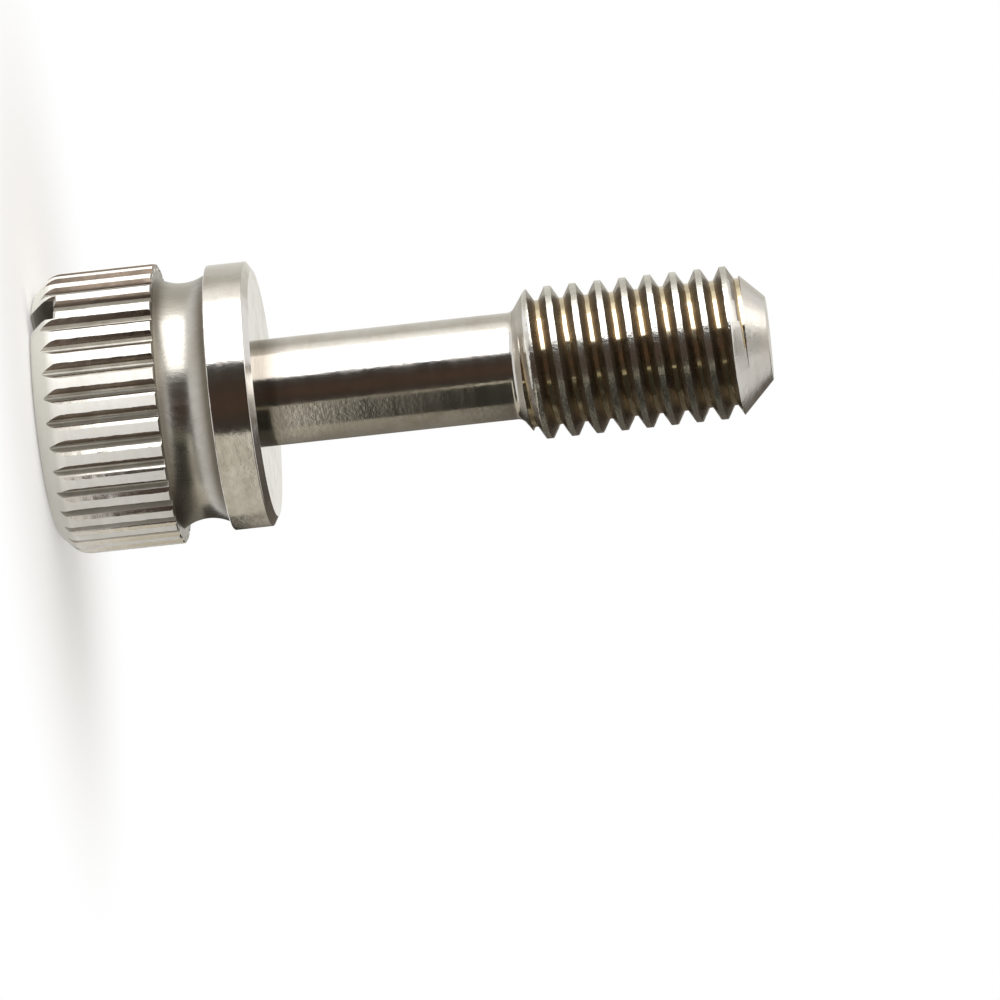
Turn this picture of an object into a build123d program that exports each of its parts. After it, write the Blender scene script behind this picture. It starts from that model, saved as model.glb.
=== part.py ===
from build123d import *
import os
from math import ceil, radians, tan

# Slotted, straight-knurled thumb screw with a reduced shank, turned from one bar.
# Millimetres. The screw stands on its head: the head's end face lies on Z = 0, the axis
# is +Z and the threaded end points up. The driver slot runs along X.

# Head, from its end face up: knurled barrel, neck, collar
head_diameter = 9.0  # over the knurl's lands
head_height = 7.0  # end face to bearing face
end_chamfer = 0.65  # at 45 degrees, round the end face
barrel_height = 3.97  # end face to the neck
neck_shoulder_diameter = 8.05  # foot of the two shoulders beside the neck
neck_waist_diameter = 7.56  # bottom of the neck's hollow
collar_diameter = 8.5
collar_thickness = 1.42
collar_edge_break = 0.08  # on the neck side
collar_chamfer_width = 0.3  # radial, on the bearing side
collar_chamfer_height = 0.18

# Straight knurl: V grooves along the barrel, one of them on the slot's line
knurl_teeth = 34
knurl_depth = 0.24
knurl_groove_angle = 90.0  # between a groove's flanks
knurl_root_width = 0.05

# Driver slot across the end face
slot_width = 1.2
slot_depth = 0.9

# Shank and right-hand thread, M5 x 0.8
length_under_head = 16.2  # bearing face to tip
shank_diameter = 3.42
thread_length = 7.95  # foot of the lead-in cone to tip
thread_diameter = 4.85  # over the crests
thread_core_diameter = 4.02
thread_pitch = 0.8
thread_groove_angle = 60.0  # between a groove's flanks
thread_root_width = 0.13
thread_start_angle = 193.5  # from +X to the groove, one pitch below the lead-in cone
lead_in_fillet = 0.2  # shank to lead-in cone
tip_face_diameter = 2.6
tip_edge_radius = 0.12

# Cutting tools pass the surfaces that they cut by this much
overrun = 0.1

# Worked out from the sizes above
head_radius = head_diameter / 2
collar_radius = collar_diameter / 2
shoulder_radius = neck_shoulder_diameter / 2
shank_radius = shank_diameter / 2
thread_radius = thread_diameter / 2
core_radius = thread_core_diameter / 2
tip_radius = tip_face_diameter / 2
collar_foot = head_height - collar_thickness
neck_middle = (barrel_height + collar_foot) / 2
screw_length = head_height + length_under_head
thread_foot = screw_length - thread_length
lead_in_top = thread_foot + thread_radius - shank_radius
tip_chamfer_foot = screw_length - (thread_radius - tip_radius)


def groove_section(root_radius, surface_radius, root_width, flank_angle):
    """A V groove with a narrow flat root, as a polygon whose depth is along X."""
    mouth_radius = surface_radius + overrun
    flank_width = (mouth_radius - root_radius) * tan(radians(flank_angle / 2))
    half_root = root_width / 2
    half_mouth = half_root + flank_width
    return Polygon(
        (root_radius, -half_root),
        (mouth_radius, -half_mouth),
        (mouth_radius, half_mouth),
        (root_radius, half_root),
    )


# The turned blank: its half section, as (radius, height), revolved about the axis
with BuildPart() as blank:
    with BuildSketch(Plane.XZ) as half_section:
        with BuildLine():
            Polyline(
                (shoulder_radius, barrel_height),
                (head_radius, barrel_height),
                (head_radius, end_chamfer),
                (head_radius - end_chamfer, 0),
                (0, 0),
                (0, screw_length),
                (tip_radius, screw_length),
                (thread_radius, tip_chamfer_foot),
                (thread_radius, lead_in_top),
                (shank_radius, thread_foot),
                (shank_radius, head_height),
                (collar_radius - collar_chamfer_width, head_height),
                (collar_radius, head_height - collar_chamfer_height),
                (collar_radius, collar_foot + collar_edge_break),
                (collar_radius - collar_edge_break, collar_foot),
                (shoulder_radius, collar_foot),
            )
            ThreePointArc(
                (shoulder_radius, collar_foot),
                (neck_waist_diameter / 2, neck_middle),
                (shoulder_radius, barrel_height),
            )
        make_face()
        rounded_corners = {
            (shank_radius, thread_foot): lead_in_fillet,
            (tip_radius, screw_length): tip_edge_radius,
        }
        for corner, radius in rounded_corners.items():
            nearest = half_section.vertices().sort_by_distance((*corner, 0))[0]
            fillet(nearest, radius)
    revolve(axis=Axis.Z)

# Knurl: one groove's section, patterned round the barrel, runs from below the end face
# into the neck
with BuildPart() as knurl_cutter:
    with BuildSketch(Plane.XY.offset(-overrun)):
        with PolarLocations(0, knurl_teeth):
            groove_section(
                head_radius - knurl_depth,
                head_radius,
                knurl_root_width,
                knurl_groove_angle,
            )
    extrude(amount=neck_middle + overrun)

# Thread: the groove's section climbs half a turn about the axis, and such half turns
# follow one another from the air round the shank to past the tip
with BuildSketch(Plane.XZ) as thread_section:
    groove_section(core_radius, thread_radius, thread_root_width, thread_groove_angle)
half_turn = Solid.extrude_linear_with_rotation(
    thread_section.sketch.face(),
    center=(0, 0, 0),
    normal=(0, 0, thread_pitch / 2),
    angle=180,
)
half_turns = ceil(2 * (thread_length / thread_pitch + 2))
half_turn_places = [
    Location(
        (0, 0, thread_foot + (turn / 2 - 1) * thread_pitch),
        (0, 0, thread_start_angle + turn * 180),
    )
    for turn in range(half_turns)
]

with BuildPart() as thumb_screw:
    add(blank)
    add(knurl_cutter, mode=Mode.SUBTRACT)
    with BuildSketch():
        Rectangle(head_diameter + 2 * overrun, slot_width)
    extrude(amount=slot_depth, mode=Mode.SUBTRACT)
    with Locations(*half_turn_places):
        add(half_turn, mode=Mode.SUBTRACT)

os.makedirs("parts", exist_ok=True)
thumb_screw.part.label = "thumb_screw"
export_step(thumb_screw.part, "parts/thumb_screw.step")
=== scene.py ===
"""Slotted, straight-knurled thumb screw in turned stainless steel.

The screw stands on its head on a pale floor, its axis on +Z and its driver slot along X.
One turned piece carries the whole visible surface. A lathed blank is cut by geometry node
trees for the knurl, the thread and the slot, and each zone of it then gets its own steel,
some zones with painted shade and highlights in their colour.
"""

import logging
import math
from bisect import bisect_left
from collections.abc import Iterable
from dataclasses import dataclass, field
from enum import Enum

import bmesh
import bpy
from mathutils import Matrix, Vector

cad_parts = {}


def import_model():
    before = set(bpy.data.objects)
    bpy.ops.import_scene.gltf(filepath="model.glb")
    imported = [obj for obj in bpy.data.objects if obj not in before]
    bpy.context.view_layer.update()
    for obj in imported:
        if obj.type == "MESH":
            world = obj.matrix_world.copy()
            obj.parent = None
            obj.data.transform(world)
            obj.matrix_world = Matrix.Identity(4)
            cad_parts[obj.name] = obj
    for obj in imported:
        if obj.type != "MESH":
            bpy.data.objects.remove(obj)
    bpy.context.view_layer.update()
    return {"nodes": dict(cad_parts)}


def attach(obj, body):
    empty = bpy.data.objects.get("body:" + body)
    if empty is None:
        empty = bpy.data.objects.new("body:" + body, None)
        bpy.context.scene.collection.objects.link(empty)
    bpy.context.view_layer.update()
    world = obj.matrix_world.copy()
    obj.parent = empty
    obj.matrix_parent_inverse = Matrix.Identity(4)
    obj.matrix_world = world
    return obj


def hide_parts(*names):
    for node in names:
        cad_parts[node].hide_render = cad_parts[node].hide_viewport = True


log = logging.getLogger("thumb_screw")

Point = tuple[float, float]
Triple = tuple[float, float, float]
Colour = tuple[float, float, float]
Socket = bpy.types.NodeSocket
Number = float | Socket
"""What a number input of a node takes: a number, or another node's output."""

Inputs = dict[str | int, object]
"""A node's inputs, by socket name or number: values or other nodes' outputs."""

MM = 0.001
"""One millimetre, in the scene's metres."""

HAIR = 0.01
"""A hair's breadth in millimetres, for comparing places on the screw."""

WHITE: Colour = (1.0, 1.0, 1.0)


class Zone(Enum):
    """The parts of the turned surface that have a colour and gloss of their own, painted shade and
    highlight on some of them.
    """

    END_FACE = "end_face"
    SLOT = "slot"
    LAND = "knurl_land"
    GROOVE = "knurl_groove"
    # painted shade: a dark line on one side of each knurl groove's lip
    SHADED_LIP = "knurl_painted_shade_lip"
    NECK = "neck"
    COLLAR = "collar"
    BEARING = "bearing_face"
    SHANK = "shank"
    LEAD_IN = "lead_in"
    CREST = "thread_crest"
    FLANK = "thread_flank"
    ROOT = "thread_root"
    TIP = "tip"


class Measure(Enum):
    """What a change across a zone follows: a finish on some zones, painted shade and highlight on
    others.
    """

    RADIUS = "Radius"
    HEIGHT = "Z"


# ---------------------------------------------------------------------------
# Objects and meshes
# ---------------------------------------------------------------------------


def in_scene(name: str, data: bpy.types.ID) -> bpy.types.Object:
    """Puts an object of the data into the scene.

    Args:
        name: the object's name.
        data: its mesh, lamp or camera.

    Returns:
        The object, at the origin.
    """
    item = bpy.data.objects.new(name, data)
    bpy.context.scene.collection.objects.link(item)
    return item


def mesh_of(name: str, shell: bmesh.types.BMesh) -> bpy.types.Mesh:
    """Makes a mesh of a shell and lets the shell go.

    Args:
        name: the mesh's name.
        shell: its faces.

    Returns:
        The mesh.
    """
    mesh = bpy.data.meshes.new(name)
    shell.to_mesh(mesh)
    shell.free()
    return mesh


def toward(azimuth: float) -> Vector:
    """The level direction at an azimuth in degrees, 0 on -Y and 90 on +X."""
    turn = math.radians(azimuth)
    return Vector((math.sin(turn), -math.cos(turn), 0.0))


# ---------------------------------------------------------------------------
# Node helpers
# ---------------------------------------------------------------------------


class NodeSheet:
    """A node tree under construction, with short ways to add and join nodes."""

    def __init__(self, tree: bpy.types.NodeTree) -> None:
        """Keeps the tree that the nodes go into."""
        self.tree = tree

    @classmethod
    def clean(cls, owner: bpy.types.Material | bpy.types.World) -> "NodeSheet":
        """Starts on an owner's own tree.

        Args:
            owner: the material or world, whose nodes are switched on and cleared.

        Returns:
            The empty sheet.
        """
        owner.use_nodes = True
        owner.node_tree.nodes.clear()
        return cls(owner.node_tree)

    def add(self, kind: str, inputs: Inputs | None = None, **settings: object) -> bpy.types.Node:
        """Adds one node.

        Args:
            kind: the node's type name.
            inputs: what its inputs are given, if anything.
            settings: the node's own properties.

        Returns:
            The new node.
        """
        node = self.tree.nodes.new(kind)
        for name, value in settings.items():
            setattr(node, name, value)
        for key, value in (inputs or {}).items():
            socket = node.inputs[key]
            if isinstance(value, Socket):
                self.tree.links.new(value, socket)
            else:
                socket.default_value = value
        return node

    def end(self, kind: str, surface: Socket) -> None:
        """Adds the output node of a kind and links the surface to it."""
        self.add(kind, {"Surface": surface})

    def math(
        self, operation: str, first: Number, second: Number = 0.0, clamp: bool = False
    ) -> Socket:
        """Adds one Math node.

        Args:
            operation: the node's operation.
            first: its first number.
            second: its second number, if the operation takes one.
            clamp: whether the result is kept between 0 and 1.

        Returns:
            The result.
        """
        node = self.add("ShaderNodeMath", {0: first, 1: second}, operation=operation)
        node.use_clamp = clamp
        return node.outputs[0]

    def plus(self, first: Number, second: Number) -> Socket:
        """Adds the sum of two numbers."""
        return self.math("ADD", first, second)

    def minus(self, first: Number, second: Number) -> Socket:
        """Adds the first number less the second."""
        return self.math("SUBTRACT", first, second)

    def times(self, first: Number, second: Number) -> Socket:
        """Adds the product of two numbers."""
        return self.math("MULTIPLY", first, second)

    def blend(self, low: Number, high: Number, share: Number) -> Socket:
        """Adds the number that lies a share of the way from low to high."""
        return self.plus(self.times(self.minus(high, low), share), low)

    def ramp(self, value: Socket, low: Number, high: Number) -> Socket:
        """Adds a smooth step from 0 where the value is low to 1 where it is high."""
        node = self.add(
            "ShaderNodeMapRange", {"Value": value, "From Min": low, "From Max": high},
            interpolation_type="SMOOTHSTEP",
        )
        return node.outputs["Result"]

    def vector(self, x: Number = 0.0, y: Number = 0.0, z: Number = 0.0) -> Socket:
        """Adds the vector of three numbers."""
        return self.add("ShaderNodeCombineXYZ", {0: x, 1: y, 2: z}).outputs[0]

    def vectors(
        self, operation: str, first: Socket, second: Triple | None = None
    ) -> bpy.types.Node:
        """Adds one Vector Math node, with a second vector where the operation takes one."""
        inputs = {0: first} if second is None else {0: first, 1: second}
        return self.add("ShaderNodeVectorMath", inputs, operation=operation)

    def scaled(self, vector: Socket, factor: Number) -> Socket:
        """Adds a vector times a number."""
        node = self.add("ShaderNodeVectorMath", {0: vector, "Scale": factor}, operation="SCALE")
        return node.outputs[0]

    def noise(
        self, where: Socket, scale: Number, detail: float, roughness: float,
        fourth: Socket | None = None,
    ) -> bpy.types.Node:
        """Adds one Noise Texture.

        Args:
            where: the place that it is read at.
            scale: how fine it is.
            detail: how many finer layers it has.
            roughness: how much each finer layer weighs.
            fourth: the place along a fourth dimension, if it has one.

        Returns:
            The node.
        """
        inputs = {"Vector": where, "Scale": scale, "Detail": detail, "Roughness": roughness}
        if fourth is None:
            return self.add("ShaderNodeTexNoise", inputs)
        return self.add("ShaderNodeTexNoise", {**inputs, "W": fourth}, noise_dimensions="4D")

    def mix(self, share: Number, low: Colour | Socket, high: Colour | Socket) -> Socket:
        """Adds a colour between two others.

        Args:
            share: how far the result is from low to high.
            low: the colour at share 0.
            high: the colour at share 1.

        Returns:
            The result.
        """
        inputs: Inputs = {0: share}
        for key, colour in ((6, low), (7, high)):
            inputs[key] = colour if isinstance(colour, Socket) else (*colour, 1.0)
        return self.add("ShaderNodeMix", inputs, data_type="RGBA").outputs[2]

    def seen(self) -> Socket:
        """Adds the mask of the rays that see the background: camera, gloss and glass.

        Returns:
            The mask.
        """
        path = self.add("ShaderNodeLightPath")
        seen = path.outputs["Is Camera Ray"]
        for name in ("Is Glossy Ray", "Is Transmission Ray"):
            seen = self.math("MAXIMUM", seen, path.outputs[name])
        return seen


class GroupSheet(NodeSheet):
    """A shader node group under construction, all of whose sockets are numbers."""

    def __init__(self, name: str, inputs: dict[str, float], outputs: tuple[str, ...]) -> None:
        """Starts the group.

        Args:
            name: the group's name.
            inputs: its inputs' names and defaults.
            outputs: its outputs' names.
        """
        super().__init__(bpy.data.node_groups.new(name, "ShaderNodeTree"))
        face = self.tree.interface
        for label, value in inputs.items():
            socket = face.new_socket(name=label, in_out="INPUT", socket_type="NodeSocketFloat")
            socket.default_value = value
        for label in outputs:
            face.new_socket(name=label, in_out="OUTPUT", socket_type="NodeSocketFloat")
        self.given = self.tree.nodes.new("NodeGroupInput").outputs
        self.leave = self.tree.nodes.new("NodeGroupOutput")

    def close(self, results: dict[str, Socket]) -> bpy.types.NodeTree:
        """Ends the group.

        Args:
            results: what each output puts out.

        Returns:
            The group.
        """
        for label, value in results.items():
            self.tree.links.new(value, self.leave.inputs[label])
        return self.tree


@dataclass(frozen=True)
class Tear:
    """The fine raggedness that a cutting tool leaves on edges.

    Its amount is in millimetres, and its fineness in cells to the millimetre.
    """

    fineness: float
    detail: float
    roughness: float
    amount: float = 0.012
    force: float = 4.0


class CutTree(NodeSheet):
    """A geometry node tree whose sizes are named inputs, all in millimetres."""

    def __init__(self, name: str) -> None:
        """Starts the tree with its geometry in and out.

        Args:
            name: the tree's name.
        """
        super().__init__(bpy.data.node_groups.new(name, "GeometryNodeTree"))
        self.values: dict[str, float] = {}
        face = self.tree.interface
        face.new_socket(name="Geometry", in_out="OUTPUT", socket_type="NodeSocketGeometry")
        face.new_socket(name="Geometry", in_out="INPUT", socket_type="NodeSocketGeometry")
        self.entry = self.tree.nodes.new("NodeGroupInput")
        self.leave = self.tree.nodes.new("NodeGroupOutput")

    @property
    def blank(self) -> Socket:
        """The geometry that comes in."""
        return self.entry.outputs["Geometry"]

    def size(self, name: str, value: float, whole: bool = False) -> Socket:
        """Adds a named input.

        Args:
            name: what the input is called.
            value: what the modifier gives it.
            whole: whether it is a whole number.

        Returns:
            The input's socket inside the tree.
        """
        kind = "NodeSocketInt" if whole else "NodeSocketFloat"
        socket = self.tree.interface.new_socket(name=name, in_out="INPUT", socket_type=kind)
        self.values[socket.identifier] = value
        return self.entry.outputs[name]

    def bar(self, columns: int, rows: int, levels: int | Socket) -> Socket:
        """Adds the unit cube of a cutting tool, with its points along X, Y and Z."""
        counts = {"Vertices X": columns, "Vertices Y": rows, "Vertices Z": levels}
        return self.add("GeometryNodeMeshCube", {"Size": (1.0, 1.0, 1.0), **counts}).outputs[0]

    def spot(self) -> Socket:
        """Adds the place of each point."""
        return self.add("GeometryNodeInputPosition").outputs[0]

    def spots(self) -> tuple[Socket, Socket, Socket]:
        """Adds the place of each point, as its X, Y and Z."""
        return tuple(self.add("ShaderNodeSeparateXYZ", {0: self.spot()}).outputs)

    def moved(self, geometry: Socket, how: str, where: Socket) -> Socket:
        """Adds the geometry with each point put at a Position or moved by an Offset."""
        return self.add("GeometryNodeSetPosition", {"Geometry": geometry, how: where}).outputs[0]

    def unrest(self, where: Socket, tear: Tear) -> Socket:
        """Adds a tear's noise vector at a place, its parts between -0.5 and 0.5."""
        noise = self.noise(where, tear.fineness, tear.detail, tear.roughness)
        return self.vectors("SUBTRACT", noise.outputs["Color"], (0.5, 0.5, 0.5)).outputs[0]

    def cut(self, blank: Socket, tool: Socket) -> Socket:
        """Cuts the tool's shape out of the blank.

        Args:
            blank: the solid that is cut.
            tool: the solid that cuts.

        Returns:
            The cut solid.
        """
        both = {"Mesh 1": blank, "Mesh 2": tool}
        node = self.add("GeometryNodeMeshBoolean", both, operation="DIFFERENCE", solver="MANIFOLD")
        return node.outputs["Mesh"]

    def close(self, geometry: Socket, steel: bpy.types.Material) -> None:
        """Ends the tree in Realize Instances and Set Material.

        Args:
            geometry: what comes out of the cuts.
            steel: the material that is set on it.
        """
        real = self.add("GeometryNodeRealizeInstances", {"Geometry": geometry})
        dressed = self.add(
            "GeometryNodeSetMaterial", {"Geometry": real.outputs[0], "Material": steel}
        )
        self.tree.links.new(dressed.outputs[0], self.leave.inputs["Geometry"])

    def apply(self, mesh: bpy.types.Mesh) -> bpy.types.Mesh:
        """Runs the tree on a mesh.

        Args:
            mesh: the mesh that goes in.

        Returns:
            A new plain mesh, with no modifier on it.
        """
        holder = in_scene("cutting", mesh)
        modifier = holder.modifiers.new(self.tree.name, "NODES")
        modifier.node_group = self.tree
        for identifier, value in self.values.items():
            modifier[identifier] = value
        graph = bpy.context.evaluated_depsgraph_get()
        result = bpy.data.meshes.new_from_object(holder.evaluated_get(graph))
        holder.modifiers.remove(modifier)
        bpy.data.objects.remove(holder)
        return result


# ---------------------------------------------------------------------------
# Steel
# ---------------------------------------------------------------------------


class SharedEffects:
    """The shader node groups that the steels have in common, each built once."""

    def __init__(self) -> None:
        """Builds the groups."""
        self.place = self._place()
        self.turning = self._turning()
        self.marks = self._marks()
        self.change = self._change()

    def _place(self) -> bpy.types.NodeTree:
        """Builds the group that says where a point is on the screw, in millimetres.

        Returns:
            The group: X, Y, height Z and radius from the axis.
        """
        names = ("X", "Y", "Z", "Radius")
        sheet = GroupSheet("place_on_screw", {}, names)
        here = sheet.add("ShaderNodeTexCoord").outputs["Object"]
        x, y, z = sheet.add("ShaderNodeSeparateXYZ", {0: sheet.scaled(here, 1.0 / MM)}).outputs
        radius = sheet.math("SQRT", sheet.plus(sheet.times(x, x), sheet.times(y, y)))
        return sheet.close(dict(zip(names, (x, y, z, radius))))

    def _turning(self) -> bpy.types.NodeTree:
        """Builds the tool's feed marks: fine rings round the axis that come and go.

        Returns:
            The group: a height for the bump, and a slow band for colour and gloss.
        """
        inputs = {"Fineness": 30.0, "Length": 0.4}
        sheet = GroupSheet("turning_marks", inputs, ("Height", "Band"))
        x, y, z, radius = sheet.add("ShaderNodeGroup", node_tree=self.place).outputs
        fine, length = (sheet.given[name] for name in inputs)
        across = sheet.vector(
            sheet.times(radius, fine), sheet.times(z, fine), sheet.times(x, length)
        )
        aside = sheet.times(y, length)
        rings = sheet.noise(across, scale=1.0, detail=3.0, roughness=0.6, fourth=aside)
        slow = sheet.scaled(across, 0.12)
        bands = sheet.noise(slow, scale=1.0, detail=2.0, roughness=0.5, fourth=aside)
        return sheet.close(
            {
                "Height": rings.outputs["Fac"],
                "Band": sheet.ramp(bands.outputs["Fac"], 0.32, 0.68),
            }
        )

    def _marks(self) -> bpy.types.NodeTree:
        """Builds what handling leaves: cloudy smudges, small stains and a fine mottle.

        Returns:
            The group: masks for smudges and stains, and the mottle.
        """
        inputs = {"Smudge Size": 1.2, "Stain Size": 0.25, "Mottle Size": 0.2}
        sheet = GroupSheet("handling_marks", inputs, ("Smudge", "Stain", "Mottle"))
        x, y, z, _ = sheet.add("ShaderNodeGroup", node_tree=self.place).outputs
        here = sheet.vector(x, y, z)
        results: dict[str, Socket] = {}
        for label, detail, low, high in (
            ("Smudge", 4.0, 0.38, 0.68), ("Stain", 5.0, 0.56, 0.72), ("Mottle", 3.0, 0.25, 0.75),
        ):
            fineness = sheet.math("DIVIDE", 1.0, sheet.given[f"{label} Size"])
            noise = sheet.noise(here, fineness, detail, roughness=0.62)
            results[label] = sheet.ramp(noise.outputs["Fac"], low, high)
        return sheet.close(results)

    def _change(self) -> bpy.types.NodeTree:
        """Builds the smooth step that brings in a second colour across a zone, for finishes and
        for painted shade and highlights.

        Returns:
            The group: the step itself, and its part for the colour.
        """
        inputs = {"Place": 0.0, "Start": 0.0, "Full": 1.0, "Share": 1.0}
        sheet = GroupSheet("finish_and_painted_light_step", inputs, ("Reach", "Colour Share"))
        place, start, full, share = (sheet.given[name] for name in inputs)
        reach = sheet.ramp(place, start, full)
        return sheet.close({"Reach": reach, "Colour Share": sheet.times(reach, share)})


@dataclass(frozen=True)
class Rim:
    """A change of colour and gloss towards one side of a zone. Millimetres. On the neck and the
    shank it is painted shade, near the thread's roots a painted highlight.
    """

    measure: Measure
    start: float
    full: float
    colour: Colour
    share: float = 1.0
    roughness: float | None = None

    def step(self, sheet: NodeSheet, effects: SharedEffects) -> bpy.types.Node:
        """Adds the step that the change follows.

        Args:
            sheet: the steel's nodes.
            effects: the node groups that all the steels use.

        Returns:
            The group's node, with its Reach and Colour Share.
        """
        place = sheet.add("ShaderNodeGroup", node_tree=effects.place)
        inputs = {
            "Place": place.outputs[self.measure.value], "Start": self.start,
            "Full": self.full, "Share": self.share,
        }
        return sheet.add("ShaderNodeGroup", inputs, node_tree=effects.change)


@dataclass(frozen=True)
class Steel:
    """One zone's colour and gloss on the same turned stainless steel.

    Bands, smudges and stains mix its clean colour with the stained one and its smooth gloss
    with the rough one. Depths and sizes are in millimetres. Fineness and length give the feed
    marks' cells to the millimetre, across them and along them. On some zones the clean colour
    and the rim carry painted shade, on others a painted highlight, as noted in steels().
    """

    zone: Zone
    clean: Colour = (0.72, 0.70, 0.67)
    stained: Colour = (0.52, 0.47, 0.41)
    smooth: float = 0.24
    rough: float = 0.38
    fineness: float = 28.0
    length: float = 0.35
    groove_depth: float = 0.0016
    mottle_depth: float = 0.0
    mottle_size: float = 0.2
    smudge: float = 0.5
    stain: float = 0.25
    band: float = 0.18
    gloss_band: float = 0.5
    gloss_smudge: float = 0.5
    rim: Rim | None = None

    def build(self, effects: SharedEffects) -> bpy.types.Material:
        """Builds the material.

        Args:
            effects: the node groups that all the steels use.

        Returns:
            The finished material.
        """
        steel = bpy.data.materials.new(f"steel_{self.zone.value}")
        sheet = NodeSheet.clean(steel)
        feed = {"Fineness": self.fineness, "Length": self.length}
        turning = sheet.add("ShaderNodeGroup", feed, node_tree=effects.turning).outputs
        cloud = {"Mottle Size": self.mottle_size}
        marks = sheet.add("ShaderNodeGroup", cloud, node_tree=effects.marks).outputs
        dirt = sheet.math(
            "MAXIMUM",
            sheet.times(marks["Smudge"], self.smudge), sheet.times(marks["Stain"], self.stain),
        )
        shade = sheet.math("ADD", dirt, sheet.times(turning["Band"], self.band), clamp=True)
        colour = sheet.mix(shade, self.clean, self.stained)
        gloss = sheet.plus(
            sheet.times(turning["Band"], self.gloss_band),
            sheet.times(marks["Smudge"], self.gloss_smudge),
        )
        roughness = sheet.blend(self.smooth, self.rough, gloss)
        if self.rim is not None:
            step = self.rim.step(sheet, effects).outputs
            colour = sheet.mix(step["Colour Share"], colour, self.rim.colour)
            if self.rim.roughness is not None:
                roughness = sheet.blend(roughness, self.rim.roughness, step["Reach"])
        height = sheet.plus(
            sheet.times(turning["Height"], self.groove_depth),
            sheet.times(marks["Mottle"], self.mottle_depth),
        )
        bump = sheet.add("ShaderNodeBump", {"Height": height, "Strength": 1.0, "Distance": MM})
        body = sheet.add(
            "ShaderNodeBsdfPrincipled",
            {
                "Base Color": colour, "Metallic": 1.0,
                "Roughness": roughness, "Normal": bump.outputs[0],
            },
        )
        sheet.end("ShaderNodeOutputMaterial", body.outputs[0])
        return steel


# ---------------------------------------------------------------------------
# The screw
# ---------------------------------------------------------------------------


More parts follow.
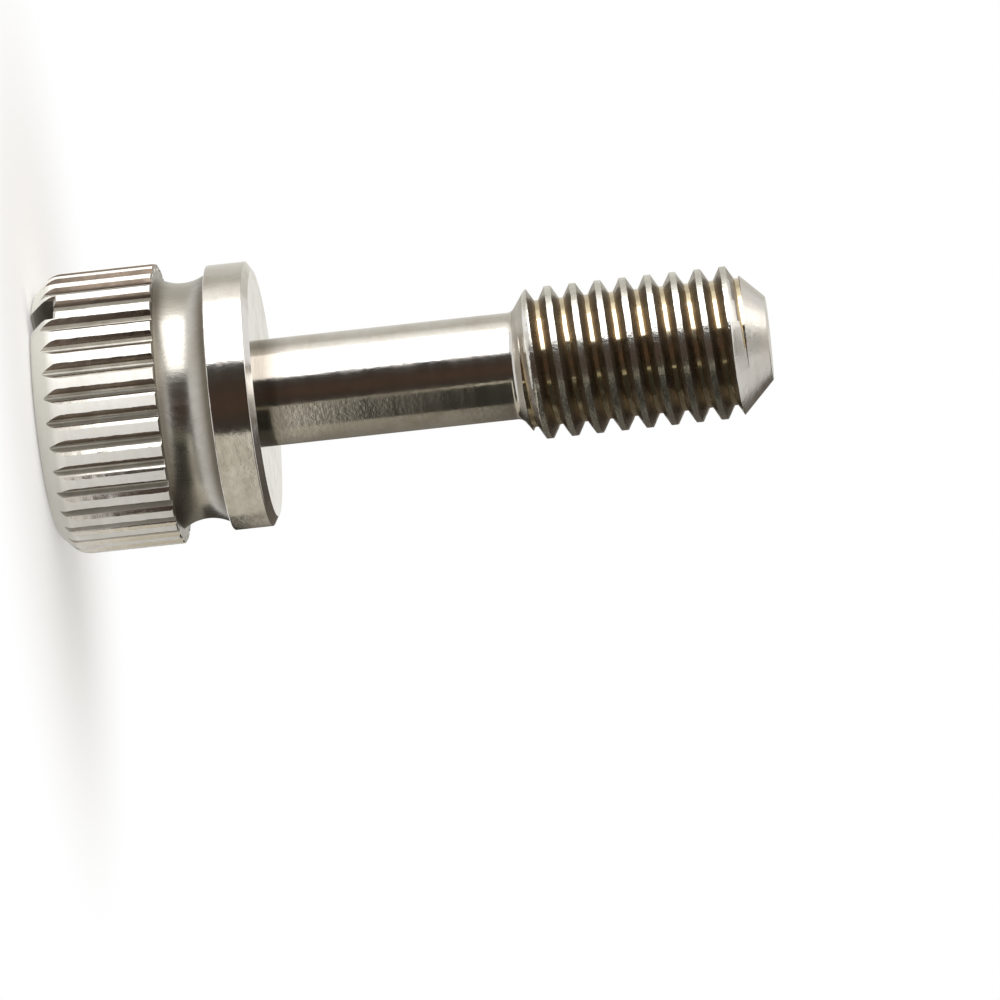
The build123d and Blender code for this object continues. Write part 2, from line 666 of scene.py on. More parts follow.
@dataclass
class TurnedBlank:
    """The bar as it leaves the lathe, before any knurl, thread or slot. Millimetres."""

    length: float = 23.2
    head_height: float = 7.0
    head_radius: float = 4.498
    end_chamfer: float = 0.65
    barrel_height: float = 3.97
    shoulder_radius: float = 4.025
    waist_radius: float = 3.78
    waist_steps: int = 14
    collar_foot: float = 5.58
    collar_radius: float = 4.25
    bearing_radius: float = 3.95
    bearing_chamfer: float = 0.18
    shank_radius: float = 1.71
    thread_foot: float = 15.25
    lead_in_foot: float = 15.12
    lead_in_length: float = 0.5
    thread_radius: float = 2.425
    tip_radius: float = 1.33
    face_round: float = 0.45
    chamfer_round: float = 0.7
    barrel_round: float = 0.08
    collar_round: float = 0.05
    bearing_round: float = 0.035
    lead_in_round: float = 0.3
    lead_out_round: float = 0.28
    tip_foot_round: float = 0.05
    tip_round: float = 0.1
    columns: int = 272
    arc_steps: int = 5
    guard: float = 0.012

    @property
    def tip_foot(self) -> float:
        """The height at which the tip's chamfer starts."""
        return self.length - (self.thread_radius - self.tip_radius)

    def waist(self) -> list[Triple]:
        """Lists the neck's hollow, an arc from the shoulder to the collar.

        Returns:
            Radius, height and rounding of each of its points.
        """
        middle = (self.barrel_height + self.collar_foot) / 2
        half = (self.collar_foot - self.barrel_height) / 2
        drop = self.shoulder_radius - self.waist_radius
        bend = (half * half + drop * drop) / (2 * drop)
        points = []
        for step in range(self.waist_steps + 1):
            height = -half + 2 * half * step / self.waist_steps
            radius = self.waist_radius + bend - math.sqrt(bend * bend - height * height)
            points.append((radius, middle + height, 0.0))
        return points

    def corners(self) -> list[Triple]:
        """Lists the half section's corners.

        Returns:
            Radius, height and rounding of each, from the end face to the tip.
        """
        lead_top = self.lead_in_foot + self.lead_in_length
        chamfer_foot = self.head_height - self.bearing_chamfer
        return [
            (self.head_radius - self.end_chamfer, 0.0, self.face_round),
            (self.head_radius, self.end_chamfer, self.chamfer_round),
            (self.head_radius, self.barrel_height, self.barrel_round),
            *self.waist(),
            (self.collar_radius, self.collar_foot, self.collar_round),
            (self.collar_radius, chamfer_foot, self.bearing_round),
            (self.bearing_radius, self.head_height, self.bearing_round),
            (self.shank_radius, self.head_height, 0.0),
            (self.shank_radius, self.lead_in_foot, self.lead_in_round),
            (self.thread_radius, lead_top, self.lead_out_round),
            (self.thread_radius, self.tip_foot, self.tip_foot_round),
            (self.tip_radius, self.length, self.tip_round),
        ]

    def section(self) -> list[Point]:
        """Rounds the corners.

        Returns:
            The half section's points, from the axis at the end face to the axis at the tip.
        """
        corners = [(0.0, 0.0, 0.0), *self.corners(), (0.0, self.length, 0.0)]
        points: list[Point] = [(0.0, 0.0)]
        for before, corner, after in zip(corners, corners[1:], corners[2:]):
            here = Vector(corner[:2])
            if corner[2] <= 0.0:
                points.append(corner[:2])
                continue
            back = (Vector(before[:2]) - here).normalized()
            ahead = (Vector(after[:2]) - here).normalized()
            half = back.angle(ahead) / 2
            reach = corner[2] / math.tan(half)
            centre = here + (back + ahead).normalized() * corner[2] / math.sin(half)
            start, stop = here + back * reach, here + ahead * reach
            points.append(tuple(start + back * self.guard))
            for step in range(self.arc_steps + 1):
                share = step / self.arc_steps
                spoke = (start - centre).slerp(stop - centre, share).normalized()
                points.append(tuple(centre + spoke * corner[2]))
            points.append(tuple(stop + ahead * self.guard))
        points.append((0.0, self.length))
        return points

    def stem(self) -> tuple[list[float], list[float]]:
        """Lists the heights and the radii of the section above the bearing face."""
        points = [point for point in self.section() if point[1] > self.head_height]
        return [point[1] for point in points], [point[0] for point in points]

    def mesh(self) -> bpy.types.Mesh:
        """Turns the section about Z.

        Returns:
            A closed mesh, in millimetres.
        """
        section = self.section()
        shell = bmesh.new()
        foot = shell.verts.new((0.0, 0.0, section[0][1]))
        top = shell.verts.new((0.0, 0.0, section[-1][1]))
        rings = []
        for radius, height in section[1:-1]:
            ring = []
            for column in range(self.columns):
                turn = 2 * math.pi * column / self.columns
                ring.append(
                    shell.verts.new((radius * math.cos(turn), radius * math.sin(turn), height))
                )
            rings.append(ring)
        for column in range(self.columns):
            following = (column + 1) % self.columns
            shell.faces.new((foot, rings[0][following], rings[0][column]))
            shell.faces.new((top, rings[-1][column], rings[-1][following]))
            for low, high in zip(rings, rings[1:]):
                shell.faces.new((low[column], low[following], high[following], high[column]))
        return mesh_of("blank", shell)


@dataclass
class Knurl:
    """Straight V grooves round the barrel, one of them on the slot's line. Millimetres."""

    teeth: int = 34
    depth: float = 0.24
    root_width: float = 0.05
    lip_depth: float = 0.07
    flank_slope: float = 0.706
    lip_slope: float = 1.714
    reach: float = 4.775
    overrun: float = 0.05
    stretch: float = 1.1
    tear: Tear = Tear(fineness=1.9, detail=4.0, roughness=0.7)

    def cut(
        self, mesh: bpy.types.Mesh, blank: TurnedBlank, steel: bpy.types.Material
    ) -> bpy.types.Mesh:
        """Cuts the grooves.

        Args:
            mesh: the blank's mesh.
            blank: the blank's sizes.
            steel: the material that the tree leaves on it.

        Returns:
            The cut mesh.
        """
        tree = CutTree("knurl")
        teeth = tree.size("Teeth", self.teeth, whole=True)
        surface = tree.size("Barrel Radius", blank.head_radius)
        depth = tree.size("Groove Depth", self.depth)
        root = tree.size("Root Width", self.root_width)
        lip = tree.size("Lip Depth", self.lip_depth)
        slope = tree.size("Flank Slope", self.flank_slope)
        lip_slope = tree.size("Lip Slope", self.lip_slope)
        reach = tree.size("Reach", self.reach)
        over = tree.size("Overrun", self.overrun)
        ragged = tree.size("Raggedness", self.tear.amount)
        x, y, z = tree.spots()
        rise = tree.times(tree.plus(depth, over), tree.plus(x, 0.5))
        radius = tree.plus(tree.minus(surface, depth), rise)
        knee = tree.minus(depth, lip)
        low = tree.times(tree.math("MINIMUM", rise, knee), slope)
        high = tree.times(tree.math("MAXIMUM", tree.minus(rise, knee), 0.0), lip_slope)
        opening = tree.plus(root, tree.times(tree.plus(low, high), 2.0))
        height = tree.minus(tree.times(tree.plus(reach, over), tree.plus(z, 0.5)), over)
        where = tree.vector(radius, tree.times(y, opening), height)
        tool = tree.moved(tree.bar(columns=7, rows=2, levels=72), "Position", where)
        number = tree.add("GeometryNodeInputIndex").outputs[0]
        turn = tree.math("DIVIDE", tree.times(number, 2 * math.pi), teeth)
        line = {"Count": teeth, "Offset": (0.0, 0.0, 0.0)}
        starts = tree.add("GeometryNodeMeshLine", line, mode="OFFSET").outputs[0]
        ring = tree.add(
            "GeometryNodeInstanceOnPoints",
            {"Points": starts, "Instance": tool, "Rotation": tree.vector(z=turn)},
        )
        tools = tree.add("GeometryNodeRealizeInstances", {"Geometry": ring.outputs[0]})
        shift = self.unrest(tree, ragged, tree.minus(surface, lip), surface)
        torn = tree.moved(tools.outputs[0], "Offset", shift)
        tree.close(tree.cut(tree.blank, torn), steel)
        return tree.apply(mesh)

    def unrest(self, tree: CutTree, amount: Socket, start: Socket, full: Socket) -> Socket:
        """Adds the small shift of the tools' walls near their mouths.

        It leaves the lands' edges ragged and the grooves straight at the root.

        Args:
            tree: the tree that the nodes go into.
            amount: how far a wall moves.
            start: the radius where the movement starts.
            full: the radius where it is full.

        Returns:
            The shift of each point.
        """
        spot = tree.spot()
        stretched = tree.vectors("MULTIPLY", spot, (1.0, 1.0, self.stretch)).outputs[0]
        unrest = tree.unrest(stretched, self.tear)
        level = tree.vectors("MULTIPLY", unrest, (1.0, 1.0, 0.0)).outputs[0]
        out = tree.vectors("MULTIPLY", spot, (1.0, 1.0, 0.0)).outputs[0]
        radius = tree.vectors("LENGTH", out).outputs["Value"]
        share = tree.add(
            "ShaderNodeMapRange", {"Value": radius, "From Min": start, "From Max": full}
        )
        force = tree.times(tree.times(amount, self.tear.force), share.outputs["Result"])
        return tree.scaled(level, force)


@dataclass
class Thread:
    """The right-hand thread, M5 x 0.8. Millimetres."""

    pitch: float = 0.8
    core_radius: float = 2.01
    flank_angle: float = 60.0
    root_width: float = 0.13
    start_angle: float = 193.5
    overrun: float = 0.1
    steps_per_turn: int = 136
    tear: Tear = Tear(fineness=2.6, detail=3.0, roughness=0.6)

    def cut(
        self, mesh: bpy.types.Mesh, blank: TurnedBlank, steel: bpy.types.Material
    ) -> bpy.types.Mesh:
        """Cuts the helical groove.

        Args:
            mesh: the blank's mesh.
            blank: the blank's sizes.
            steel: the material that the tree leaves on it.

        Returns:
            The cut mesh.
        """
        turns = (blank.length - blank.thread_foot) / self.pitch + 2.0
        tool_height = blank.thread_radius - self.core_radius + self.overrun
        tree = CutTree("thread")
        pitch = tree.size("Pitch", self.pitch)
        count = tree.size("Turns", turns)
        steps = tree.size("Steps", round(turns * self.steps_per_turn), whole=True)
        foot = tree.size("Foot", blank.thread_foot - self.pitch)
        begin = tree.size("Start Angle", math.radians(self.start_angle))
        core = tree.size("Core Radius", self.core_radius)
        tall = tree.size("Tool Height", tool_height)
        root = tree.size("Root Width", self.root_width)
        slope = tree.size("Flank Slope", math.tan(math.radians(self.flank_angle / 2)))
        ragged = tree.size("Raggedness", self.tear.amount)
        x, y, z = tree.spots()
        along = tree.times(tree.plus(z, 0.5), count)
        rise = tree.times(tall, tree.plus(x, 0.5))
        radius = tree.plus(core, rise)
        opening = tree.plus(root, tree.times(rise, tree.times(slope, 2.0)))
        turn = tree.plus(tree.times(along, 2 * math.pi), begin)
        height = tree.minus(tree.plus(foot, tree.times(along, pitch)), tree.times(y, opening))
        where = tree.vector(
            tree.times(radius, tree.math("COSINE", turn)),
            tree.times(radius, tree.math("SINE", turn)), height,
        )
        tool = tree.moved(tree.bar(columns=6, rows=2, levels=steps), "Position", where)
        force = tree.times(ragged, self.tear.force)
        shift = tree.scaled(tree.unrest(tree.spot(), self.tear), force)
        torn = tree.moved(tool, "Offset", shift)
        tree.close(tree.cut(tree.blank, torn), steel)
        return tree.apply(mesh)


@dataclass
class DriverSlot:
    """The straight slot across the end face, along X, with broken edges. Millimetres."""

    width: float = 0.96
    depth: float = 0.86
    edge_break: float = 0.11
    overrun: float = 0.4

    def cut(
        self, mesh: bpy.types.Mesh, blank: TurnedBlank, steel: bpy.types.Material
    ) -> bpy.types.Mesh:
        """Cuts the slot and brings the mesh to metres.

        The cutting bar's ends, its mouth side and its floor side are found by how far their
        points lie from the bar's middle, which is half its size at most.

        Args:
            mesh: the blank's mesh.
            blank: the blank's sizes.
            steel: the material that the tree leaves on it.

        Returns:
            The cut mesh, in metres.
        """
        outer = 0.4
        tree = CutTree("driver_slot")
        width = tree.size("Width", self.width)
        depth = tree.size("Depth", self.depth)
        surface = tree.size("Barrel Radius", blank.head_radius)
        lip = tree.size("Edge Break", self.edge_break)
        over = tree.size("Overrun", self.overrun)
        unit = tree.size("Unit", MM)
        x, y, z = tree.spots()
        flare = tree.plus(lip, over)
        end = tree.math("GREATER_THAN", tree.math("ABSOLUTE", x), outer)
        mouth = tree.math("LESS_THAN", z, -outer)
        floor = tree.math("GREATER_THAN", z, outer)
        half_length = tree.plus(tree.minus(surface, lip), tree.times(end, flare))
        along = tree.times(tree.math("SIGN", x), half_length)
        opened = tree.times(tree.math("MAXIMUM", end, mouth), flare)
        across = tree.times(y, tree.plus(width, tree.times(opened, 2.0)))
        deepened = tree.plus(depth, tree.times(end, flare))
        height = tree.plus(
            tree.minus(lip, tree.times(mouth, flare)),
            tree.times(floor, tree.minus(deepened, lip)),
        )
        bar = tree.bar(columns=4, rows=2, levels=3)
        saw = tree.moved(bar, "Position", tree.vector(along, across, height))
        shrunk = tree.add(
            "GeometryNodeTransform",
            {"Geometry": tree.cut(tree.blank, saw), "Scale": tree.vector(unit, unit, unit)},
        )
        tree.close(shrunk.outputs[0], steel)
        return tree.apply(mesh)


@dataclass(frozen=True)
class Facet:
    """One face of the finished mesh: its middle, in millimetres, and its normal."""

    spot: Vector
    normal: Vector

    @property
    def radius(self) -> float:
        """How far it is from the axis."""
        return math.hypot(self.spot.x, self.spot.y)

    @property
    def turned(self) -> float:
        """How far it looks round the axis, from -1 to 1."""
        cross = self.spot.x * self.normal.y - self.spot.y * self.normal.x
        return cross / max(self.radius, HAIR)


@dataclass(frozen=True)
class Margins:
    """How far past a size a zone's faces may still lie, in millimetres.

    The last one is the share of the lead-in cone's height that is finished as its own zone.
    """

    hair: float = HAIR
    slot_mouth: float = 0.001
    slot_floor: float = 0.5
    end_face: float = 0.06
    shoulder: float = 0.1
    land: float = 0.03
    neck: float = 0.005
    collar: float = 0.002
    skin: float = 0.02
    crest: float = 0.012
    tip: float = 0.05
    lead_in_share: float = 0.75


@dataclass(frozen=True)
class Facing:
    """How far a zone's faces look along an axis at least or at most, as cosines."""

    end_face: float = 0.5
    shoulder: float = 0.6
    chamfer: float = 0.1
    sideways: float = 0.2
    slot_break: float = 0.9
    slot_floor: float = 0.3


@dataclass
class ThumbScrew:
    """The whole screw: blank, knurl, thread and slot, in one closed piece."""

    blank: TurnedBlank = field(default_factory=TurnedBlank)
    knurl: Knurl = field(default_factory=Knurl)
    thread: Thread = field(default_factory=Thread)
    slot: DriverSlot = field(default_factory=DriverSlot)
    past: Margins = Margins()
    look: Facing = Facing()
    crease: float = 18.0

    def build(self, steels: dict[Zone, bpy.types.Material]) -> bpy.types.Object:
        """Makes the piece and gives every zone its steel.

        Args:
            steels: the material of each zone.

        Returns:
            The finished object, at the origin.
        """
        base = steels[Zone.SHANK]
        mesh = self.blank.mesh()
        mesh = self.knurl.cut(mesh, self.blank, base)
        mesh = self.thread.cut(mesh, self.blank, base)
        mesh = self.slot.cut(mesh, self.blank, base)
        mesh.name = "turned_screw"
        piece = in_scene("turned_screw", mesh)
        self.dress(mesh, steels)
        return piece

    def dress(self, mesh: bpy.types.Mesh, steels: dict[Zone, bpy.types.Material]) -> None:
        """Sets smooth shading, creases and each face's steel.

        Args:
            mesh: the finished mesh, in metres.
            steels: the material of each zone.
        """
        mesh.materials.clear()
        order = list(steels)
        for zone in order:
            mesh.materials.append(steels[zone])
        heights, radii = self.blank.stem()
        for face in mesh.polygons:
            spot = face.center / MM
            after = min(max(bisect_left(heights, spot.z), 1), len(heights) - 1)
            low, high = heights[after - 1], heights[after]
            share = min(max((spot.z - low) / max(high - low, 1e-6), 0.0), 1.0)
            skin = radii[after - 1] + (radii[after] - radii[after - 1]) * share
            zone = self.zone_of(Facet(spot, face.normal), skin)
            face.material_index = order.index(zone)
            face.use_smooth = True
        mesh.set_sharp_from_angle(angle=math.radians(self.crease))

    def zone_of(self, face: Facet, skin: float) -> Zone:
        """Says which zone a face is in.

        Args:
            face: the face.
            skin: the uncut bar's radius at that height, above the bearing face.

        Returns:
            The zone.
        """
        blank, past, height = self.blank, self.past, face.spot.z
        if self.in_slot(face):
            return Zone.SLOT
        if height < past.end_face and face.normal.z < -self.look.end_face:
            return Zone.END_FACE
        if height < blank.barrel_height + past.hair:
            return self.barrel_zone(face)
        if height < blank.collar_foot - past.neck:
            return Zone.NECK
        if height < blank.head_height - past.collar:
            return Zone.COLLAR
        if height < blank.head_height + past.hair:
            return Zone.BEARING
        if face.radius > skin - past.skin:
            return self.skin_zone(height)
        return self.thread_zone(face)

    def in_slot(self, face: Facet) -> bool:
        """Says whether a face is a wall, a broken edge or the floor of the slot.

        Args:
            face: the face.

        Returns:
            Whether it is.
        """
        slot, past, look = self.slot, self.past, self.look
        aside, height, half = abs(face.spot.y), face.spot.z, slot.width / 2
        if height >= slot.depth + slot.edge_break:
            return False
        upright = height > past.slot_mouth and abs(face.normal.x) < look.sideways
        level = height > past.slot_floor and face.normal.z < -look.slot_break
        if half - past.hair < aside < half + slot.edge_break + past.hair:
            if upright or level:
                return True
        return aside < half and height > past.hair and face.normal.z < -look.slot_floor

    def barrel_zone(self, face: Facet) -> Zone:
        """Says which of the barrel's zones a face is in: shoulder, land, shaded lip or groove.

        Args:
            face: the face.

        Returns:
            The zone.
        """
        blank, past, look, rise = self.blank, self.past, self.look, face.normal.z
        # The barrel's shoulder takes the neck's steel, whose dark rim paints shade on it.
        if rise > look.shoulder and face.spot.z > blank.barrel_height - past.shoulder:
            return Zone.NECK
        outside = rise < -look.chamfer or face.radius > blank.head_radius - past.land
        if abs(face.turned) < look.sideways and outside:
            return Zone.LAND
        # One side of each groove's lip gets a painted shade line, standing in for the shadow under
        # each land's edge.
        lip_foot = blank.head_radius - 2 * self.knurl.lip_depth
        if face.turned > look.sideways and face.radius > lip_foot:
            return Zone.SHADED_LIP
        return Zone.GROOVE

    def skin_zone(self, height: float) -> Zone:
        """Says which zone the bar's own surface is in, above the bearing face.

        Args:
            height: how far above the end face it is.

        Returns:
            The zone.
        """
        blank, past = self.blank, self.past
        if height < blank.lead_in_foot:
            return Zone.SHANK
        if height < blank.lead_in_foot + past.lead_in_share * blank.lead_in_length:
            return Zone.LEAD_IN
        if height > blank.tip_foot - past.tip:
            return Zone.TIP
        return Zone.CREST

    def thread_zone(self, face: Facet) -> Zone:
        """Says which zone a face below the bar's own surface is in.

        Args:
            face: the face.

        Returns:
            The zone.
        """
        blank, past = self.blank, self.past
        if face.spot.z > blank.length - past.hair:
            return Zone.TIP
        if face.radius > blank.thread_radius - past.crest:
            return Zone.CREST
        if face.radius < self.thread.core_radius + past.skin:
            return Zone.ROOT
        return Zone.FLANK


# ---------------------------------------------------------------------------
# Studio
# ---------------------------------------------------------------------------


@dataclass(frozen=True)
class Lamp:
    """A soft rectangular lamp that faces the screw's middle. Degrees and millimetres.

    A glow of 1 makes its face look white.
    """

    name: str
    azimuth: float
    elevation: float
    distance: float
    size: Point
    glow: float
    colour: Colour = WHITE
    aim: float = 10.0

    def build(self) -> None:
        """Hangs the lamp."""
        lamp = bpy.data.lights.new(self.name, "AREA")
        lamp.shape = "RECTANGLE"
        lamp.size, lamp.size_y = self.size[0] * MM, self.size[1] * MM
        lamp.energy = self.glow * math.pi * lamp.size * lamp.size_y
        lamp.color = self.colour
        rise = math.radians(self.elevation)
        away = toward(self.azimuth) * math.cos(rise) + Vector((0.0, 0.0, math.sin(rise)))
        place = (Vector((0.0, 0.0, self.aim)) + away * self.distance) * MM
        facing = away.to_track_quat("Z", "Y").to_matrix().to_4x4()
        in_scene(self.name, lamp).matrix_world = Matrix.Translation(place) @ facing


@dataclass(frozen=True)
class Card:
    """A card bent round the screw's axis, which only reflections see. Degrees and millimetres.

    Its tone goes from near to far between its first and last azimuth. A card with no far tone
    has one tone all over.
    """

    name: str
    first: float
    last: float
    distance: float
    heights: Point
    near: Colour
    far: Colour | None = None
    steps: int = 24

    def build(self) -> None:
        """Stands the card and hides it from all but reflections."""
        card = in_scene(self.name, self.mesh())
        paint = bpy.data.materials.new(self.name)
        sheet = NodeSheet.clean(paint)
        tone = sheet.add("ShaderNodeAttribute", attribute_name="tone").outputs["Color"]
        glow = sheet.add("ShaderNodeEmission", {"Color": tone, "Strength": 1.0})
        sheet.end("ShaderNodeOutputMaterial", glow.outputs[0])
        card.data.materials.append(paint)
        card.visible_camera = False
        card.visible_shadow = False
        card.visible_diffuse = False

    def mesh(self) -> bpy.types.Mesh:
        """Bends the card and paints its tone on its corners.

        Returns:
            The card's mesh, in metres.
        """
        shell = bmesh.new()
        tone = shell.loops.layers.float_color.new("tone")
        rows = []
        for step in range(self.steps + 1):
            share = step / self.steps
            spot = toward(self.first + (self.last - self.first) * share) * self.distance
            rows.append(
                [shell.verts.new((spot.x * MM, spot.y * MM, h * MM)) for h in self.heights]
            )
        for step, (row, following) in enumerate(zip(rows, rows[1:])):
            face = shell.faces.new((row[0], row[1], following[1], following[0]))
            for loop in face.loops:
                share = (step + (loop.vert in following)) / self.steps
                ends = zip(self.near, self.far or self.near)
                loop[tone] = (*(near + (far - near) * share for near, far in ends), 1.0)
        return mesh_of(self.name, shell)


@dataclass
class Studio:
    """The floor, the camera, the soft light and the cards that shape the reflections.

    The camera's place is in millimetres, and its three axes are unit vectors.
    """

    eye: Triple = (-163.84, -194.87, 29.92)
    right: Triple = (0.12160, -0.02402, 0.99229)
    up: Triple = (-0.74595, 0.65733, 0.10733)
    back: Triple = (-0.65484, -0.75325, 0.06201)
    lens: float = 288.0
    sensor: float = 36.0
    surround: Colour = (0.62, 0.60, 0.57)
    floor_radius: float = 18.0
    floor_sides: int = 96
    floor_tone: Colour = (0.88, 0.87, 0.85)
    fade_start: float = 6.0
    fade_end: float = 17.1
    least_white: float = 0.35

    def build(self) -> None:
        """Places everything."""
        bpy.context.scene.view_settings.view_transform = "Standard"
        self.camera()
        self.world()
        self.floor()
        for lamp in lamps():
            lamp.build()
        for card in cards():
            card.build()

    def camera(self) -> None:
        """Places the camera."""
        lens = bpy.data.cameras.new("view")
        lens.lens = self.lens
        lens.sensor_width = self.sensor
        lens.clip_start, lens.clip_end = 0.01, 10.0
        eye = in_scene("view", lens)
        axes = Matrix((self.right, self.up, self.back)).transposed()
        eye.matrix_world = Matrix.Translation(Vector(self.eye) * MM) @ axes.to_4x4()
        bpy.context.scene.camera = eye

    def world(self) -> None:
        """Sets the surroundings: soft grey for the light, white where it is seen."""
        world = bpy.data.worlds.new("studio")
        bpy.context.scene.world = world
        sheet = NodeSheet.clean(world)
        colour = sheet.mix(sheet.seen(), self.surround, WHITE)
        shine = sheet.add("ShaderNodeBackground", {"Color": colour, "Strength": 1.0})
        sheet.end("ShaderNodeOutputWorld", shine.outputs[0])

    def floor(self) -> None:
        """Lays a round pale floor that keeps the screw's shadow and fades to white."""
        shell = bmesh.new()
        bmesh.ops.create_circle(
            shell, cap_ends=True, segments=self.floor_sides, radius=self.floor_radius * MM
        )
        floor = in_scene("floor", mesh_of("floor", shell))
        paint = bpy.data.materials.new("pale_floor")
        sheet = NodeSheet.clean(paint)
        here = sheet.add("ShaderNodeTexCoord").outputs["Object"]
        away = sheet.vectors("LENGTH", here).outputs["Value"]
        fade = sheet.ramp(away, self.fade_start * MM, self.fade_end * MM)
        white_share = sheet.times(sheet.seen(), sheet.blend(self.least_white, 1.0, fade))
        matt = sheet.add("ShaderNodeBsdfDiffuse", {"Color": (*self.floor_tone, 1.0)})
        white = sheet.add("ShaderNodeEmission", {"Color": (*WHITE, 1.0), "Strength": 1.0})
        both = sheet.add(
            "ShaderNodeMixShader", {0: white_share, 1: matt.outputs[0], 2: white.outputs[0]}
        )
        sheet.end("ShaderNodeOutputMaterial", both.outputs[0])
        floor.data.materials.append(paint)


def lamps() -> tuple[Lamp, ...]:
    """Lists the soft lamps.

    Returns:
        The lamps, from the front one to the top one.
    """
    return (
        Lamp("key_light", 252.0, 6.0, 190.0, (318.0, 170.0), 2.1),
        Lamp("top_light", 252.0, 62.0, 200.0, (200.0, 160.0), 1.2, (1.0, 0.99, 0.97)),
    )


def cards() -> tuple[Card, ...]:
    """Lists the cards that the screw's surface mirrors.

    Returns:
        The cards, each with its azimuths, its distance, its heights and its tones.
    """
    dark, ember = (0.036, 0.034, 0.029), (0.075, 0.046, 0.031)
    murk, dusk = (0.070, 0.066, 0.054), (0.14, 0.12, 0.10)
    pitch, nook = (0.030, 0.028, 0.021), (0.045, 0.038, 0.031)
    clay, loam = (0.27, 0.25, 0.205), (0.26, 0.24, 0.20)
    flax, reed = (0.62, 0.57, 0.43), (0.33, 0.305, 0.24)
    moss, ash = (0.18, 0.165, 0.145), (0.36, 0.35, 0.32)
    sand, straw = (0.92, 0.88, 0.76), (0.62, 0.59, 0.50)
    chalk, pewter, pearl = (0.86, 0.85, 0.80), (0.62, 0.60, 0.54), (1.45, 1.42, 1.34)
    return (
        Card("dark_card", 290.0, 325.0, 70.0, (-90.0, 48.0), dark, ember),
        Card("ember_card", 325.0, 351.0, 70.0, (-90.0, 48.0), ember, dark),
        Card("low_card", 349.0, 407.0, 66.0, (-58.0, -8.0), murk),
        Card("patch_card", 349.0, 407.0, 66.0, (1.8, 4.2), clay, loam),
        Card("shade_card", 349.0, 407.0, 66.0, (4.2, 48.0), pitch),
        Card("line_card", 350.0, 353.5, 64.0, (5.9, 48.0), flax),
        Card("dim_card", 407.0, 492.0, 66.0, (2.0, 10.5), reed, moss),
        Card("gloom_card", 407.0, 492.0, 66.0, (10.5, 48.0), murk, dusk),
        Card("nook_card", 442.0, 492.0, 62.0, (-40.0, 0.3), nook, pitch),
        Card("sand_card", 349.0, 440.0, 74.0, (-70.0, 66.0), sand, straw),
        Card("dusk_card", 438.0, 492.0, 74.0, (-70.0, 66.0), straw, dusk),
        Card("grey_card", 132.0, 204.0, 74.0, (-70.0, 66.0), chalk, pewter),
        Card("glow_card", 204.0, 231.0, 74.0, (-70.0, 66.0), pewter, pearl),
        Card("roof_card", 99.0, 132.0, 70.0, (44.0, 160.0), dusk, dark),
        Card("hood_card", 0.0, 360.0, 12.0, (70.0, 400.0), ash),
    )


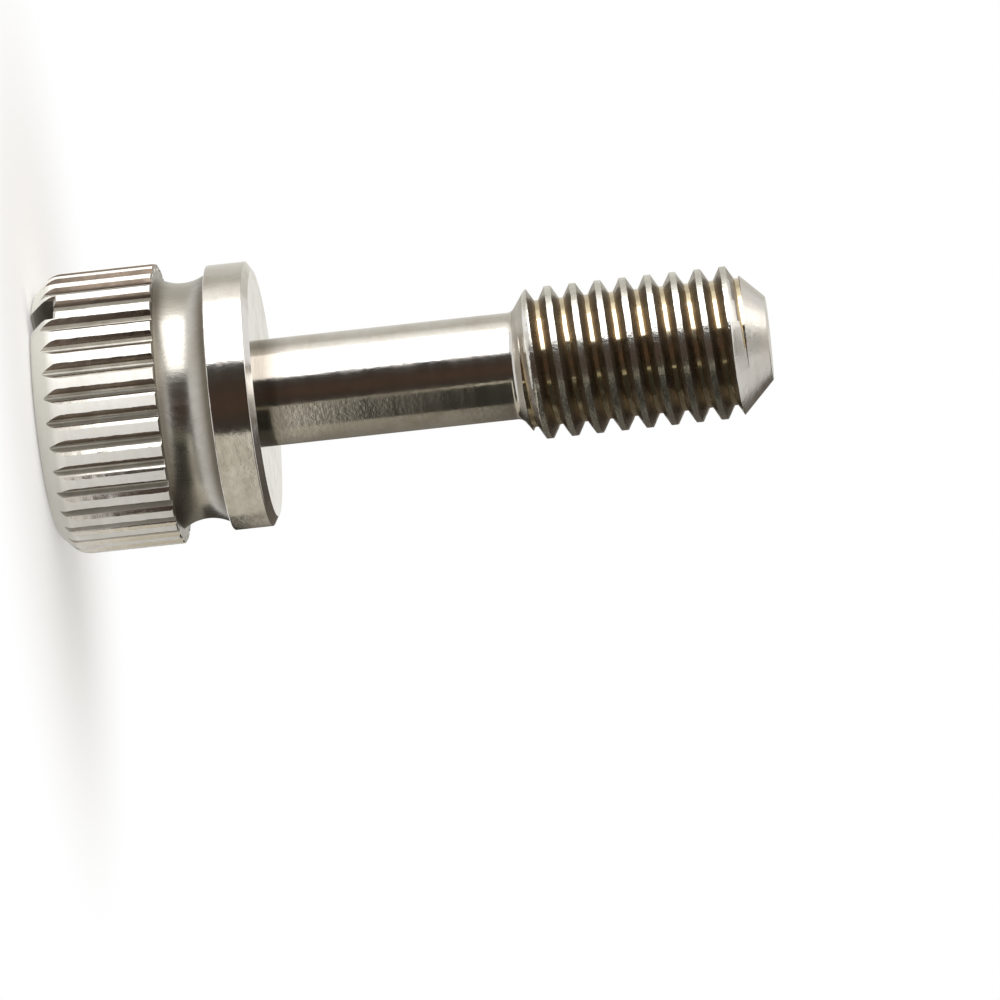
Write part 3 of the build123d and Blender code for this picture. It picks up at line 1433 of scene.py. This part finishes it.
def steels() -> tuple[Steel, ...]:
    """Lists the colour and gloss of every zone, with painted shade and highlights where noted.

    Returns:
        The steels, from the end face to the tip.
    """
    return (
        Steel(Zone.END_FACE, clean=(0.62, 0.60, 0.56), fineness=22.0),
        # The slot's colour, darker than bare steel, is painted shade inside it, fading out towards
        # its open ends by the rim.
        Steel(Zone.SLOT, clean=(0.44, 0.42, 0.37), stained=(0.22, 0.20, 0.17), rough=0.5,
              rim=Rim(Measure.RADIUS, 4.3, 4.42, (0.74, 0.73, 0.70), 0.9)),
        # The lands' near-white colour, brighter than bare steel, is partly worn polish and partly
        # a painted highlight.
        Steel(Zone.LAND, clean=(0.97, 0.96, 0.93), stained=(0.80, 0.77, 0.72), smooth=0.68,
              rough=0.82, length=2.2, groove_depth=0.004, mottle_depth=0.004, smudge=0.2,
              rim=Rim(Measure.RADIUS, 4.48, 4.36, (0.80, 0.79, 0.75))),
        # The grooves' colour, darker than bare steel, is painted shade down in the grooves.
        Steel(Zone.GROOVE, clean=(0.55, 0.53, 0.48), stained=(0.38, 0.35, 0.30),
              smooth=0.34, rough=0.5,
              rim=Rim(Measure.RADIUS, 4.385, 4.405, (0.62, 0.58, 0.52), 1.0, 0.16)),
        # Painted shade: dark brown on one side of each groove's lip, standing in for the shadow
        # under each land's edge.
        Steel(Zone.SHADED_LIP, clean=(0.19, 0.150, 0.118), stained=(0.10, 0.077, 0.058), smooth=0.22,
              rough=0.4),
        # Painted shade: the neck's darker colour and its dark rim by the barrel's shoulder and the
        # collar, which also covers the shoulder.
        Steel(Zone.NECK, clean=(0.51, 0.49, 0.45), stained=(0.40, 0.37, 0.32), smooth=0.21,
              rough=0.32, fineness=1.5, length=7.0, groove_depth=0.006,
              rim=Rim(Measure.RADIUS, 3.80, 3.98, (0.15, 0.13, 0.10), 0.92)),
        Steel(Zone.COLLAR, smooth=0.10, rough=0.18, groove_depth=0.0005, mottle_depth=0.0011),
        Steel(Zone.BEARING, clean=(0.85, 0.84, 0.81), smooth=0.1, rough=0.18,
              groove_depth=0.0006),
        # The rim darkens the shank's foot next to the collar: painted shade.
        Steel(Zone.SHANK, smooth=0.1, rough=0.2, groove_depth=0.0006, mottle_depth=0.0011,
              mottle_size=0.13,
              rim=Rim(Measure.HEIGHT, 8.1, 7.1, (0.20, 0.17, 0.13), 0.75)),
        Steel(Zone.LEAD_IN, clean=(0.47, 0.44, 0.39), stained=(0.30, 0.27, 0.22), smooth=0.22,
              rough=0.36),
        Steel(Zone.CREST, clean=(0.80, 0.79, 0.75), stained=(0.42, 0.39, 0.33), smooth=0.14,
              rough=0.28, stain=0.8, mottle_depth=0.004, mottle_size=0.12),
        # The flanks' dark brown is partly oil residue and partly painted shade down the thread;
        # the tan rim towards the root is a painted highlight.
        Steel(Zone.FLANK, clean=(0.27, 0.23, 0.18), stained=(0.15, 0.12, 0.09),
              smooth=0.2, rough=0.36,
              rim=Rim(Measure.RADIUS, 2.20, 2.04, (0.52, 0.42, 0.29), 0.6)),
        # The roots' bright golden colour is a painted highlight along the thread's roots.
        Steel(Zone.ROOT, clean=(0.80, 0.70, 0.50), stained=(0.46, 0.37, 0.26), smooth=0.1,
              rough=0.2),
        Steel(Zone.TIP, clean=(0.58, 0.56, 0.52), mottle_depth=0.003),
    )


def corners(box: Iterable[Iterable[float]]) -> list[list[float]]:
    """Turns a box into plain lists of numbers."""
    return [[float(value) for value in corner] for corner in box]


def main() -> None:
    """Builds the scene: the studio, then the screw."""
    logging.basicConfig(level=logging.INFO, format="%(name)s: %(message)s")
    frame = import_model()
    log.info("frame has %d nodes", len(frame["nodes"]))
    Studio().build()
    log.info("studio is set")
    effects = SharedEffects()
    finishes = {steel.zone: steel.build(effects) for steel in steels()}
    log.info("%d steels are mixed", len(finishes))
    piece = ThumbScrew().build(finishes)
    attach(piece, "root")
    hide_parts("thumb_screw")
    log.info("%s has %d faces", piece.name, len(piece.data.polygons))


if __name__ == "__main__":
    main()
